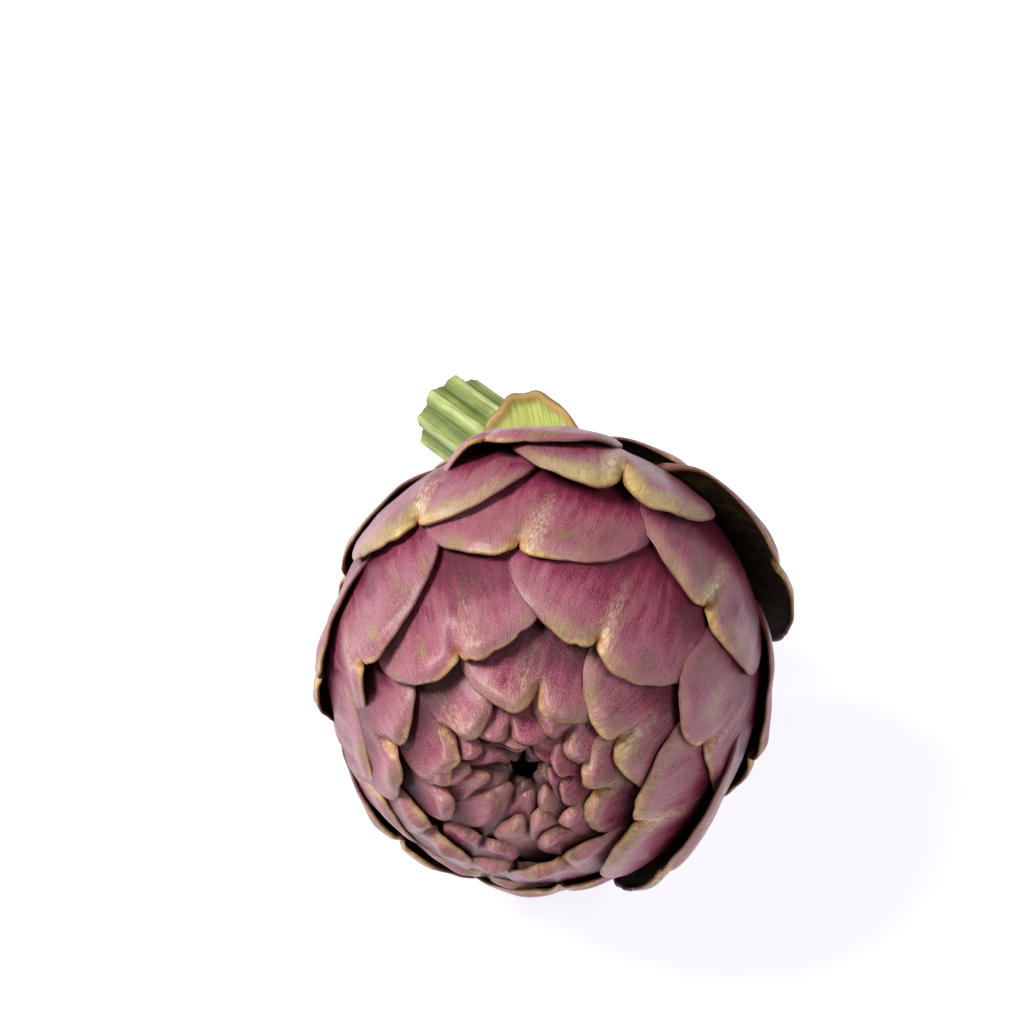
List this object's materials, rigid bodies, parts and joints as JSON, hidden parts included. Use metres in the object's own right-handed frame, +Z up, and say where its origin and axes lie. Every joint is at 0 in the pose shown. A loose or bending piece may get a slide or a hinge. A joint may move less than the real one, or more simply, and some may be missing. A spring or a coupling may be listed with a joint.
{
  "type": "globe artichoke",
  "caption": "Purple globe artichoke with overlapping notched bracts, small green bracts and a cut stem, lying on its side.",
  "frame": {"origin": "on the surface it lies on, under the middle of its bounding box", "axes": "+Z up, -Y the way the bud's tip points, +Y towards the stem's cut end, +X to the right when looking along +Y"},
  "size_m": [0.0987, 0.1685, 0.0962],
  "materials": {
    "purple_bracts": "satin, dusty mauve purple with golden rims",
    "green_bracts": "satin, olive to pale green",
    "stem": "satin, pale green with whitish ribs"
  },
  "bodies": {
    "root": {"head": "purple_bracts", "basal_bracts": "green_bracts", "stem": "stem"}
  },
  "joints": []
}
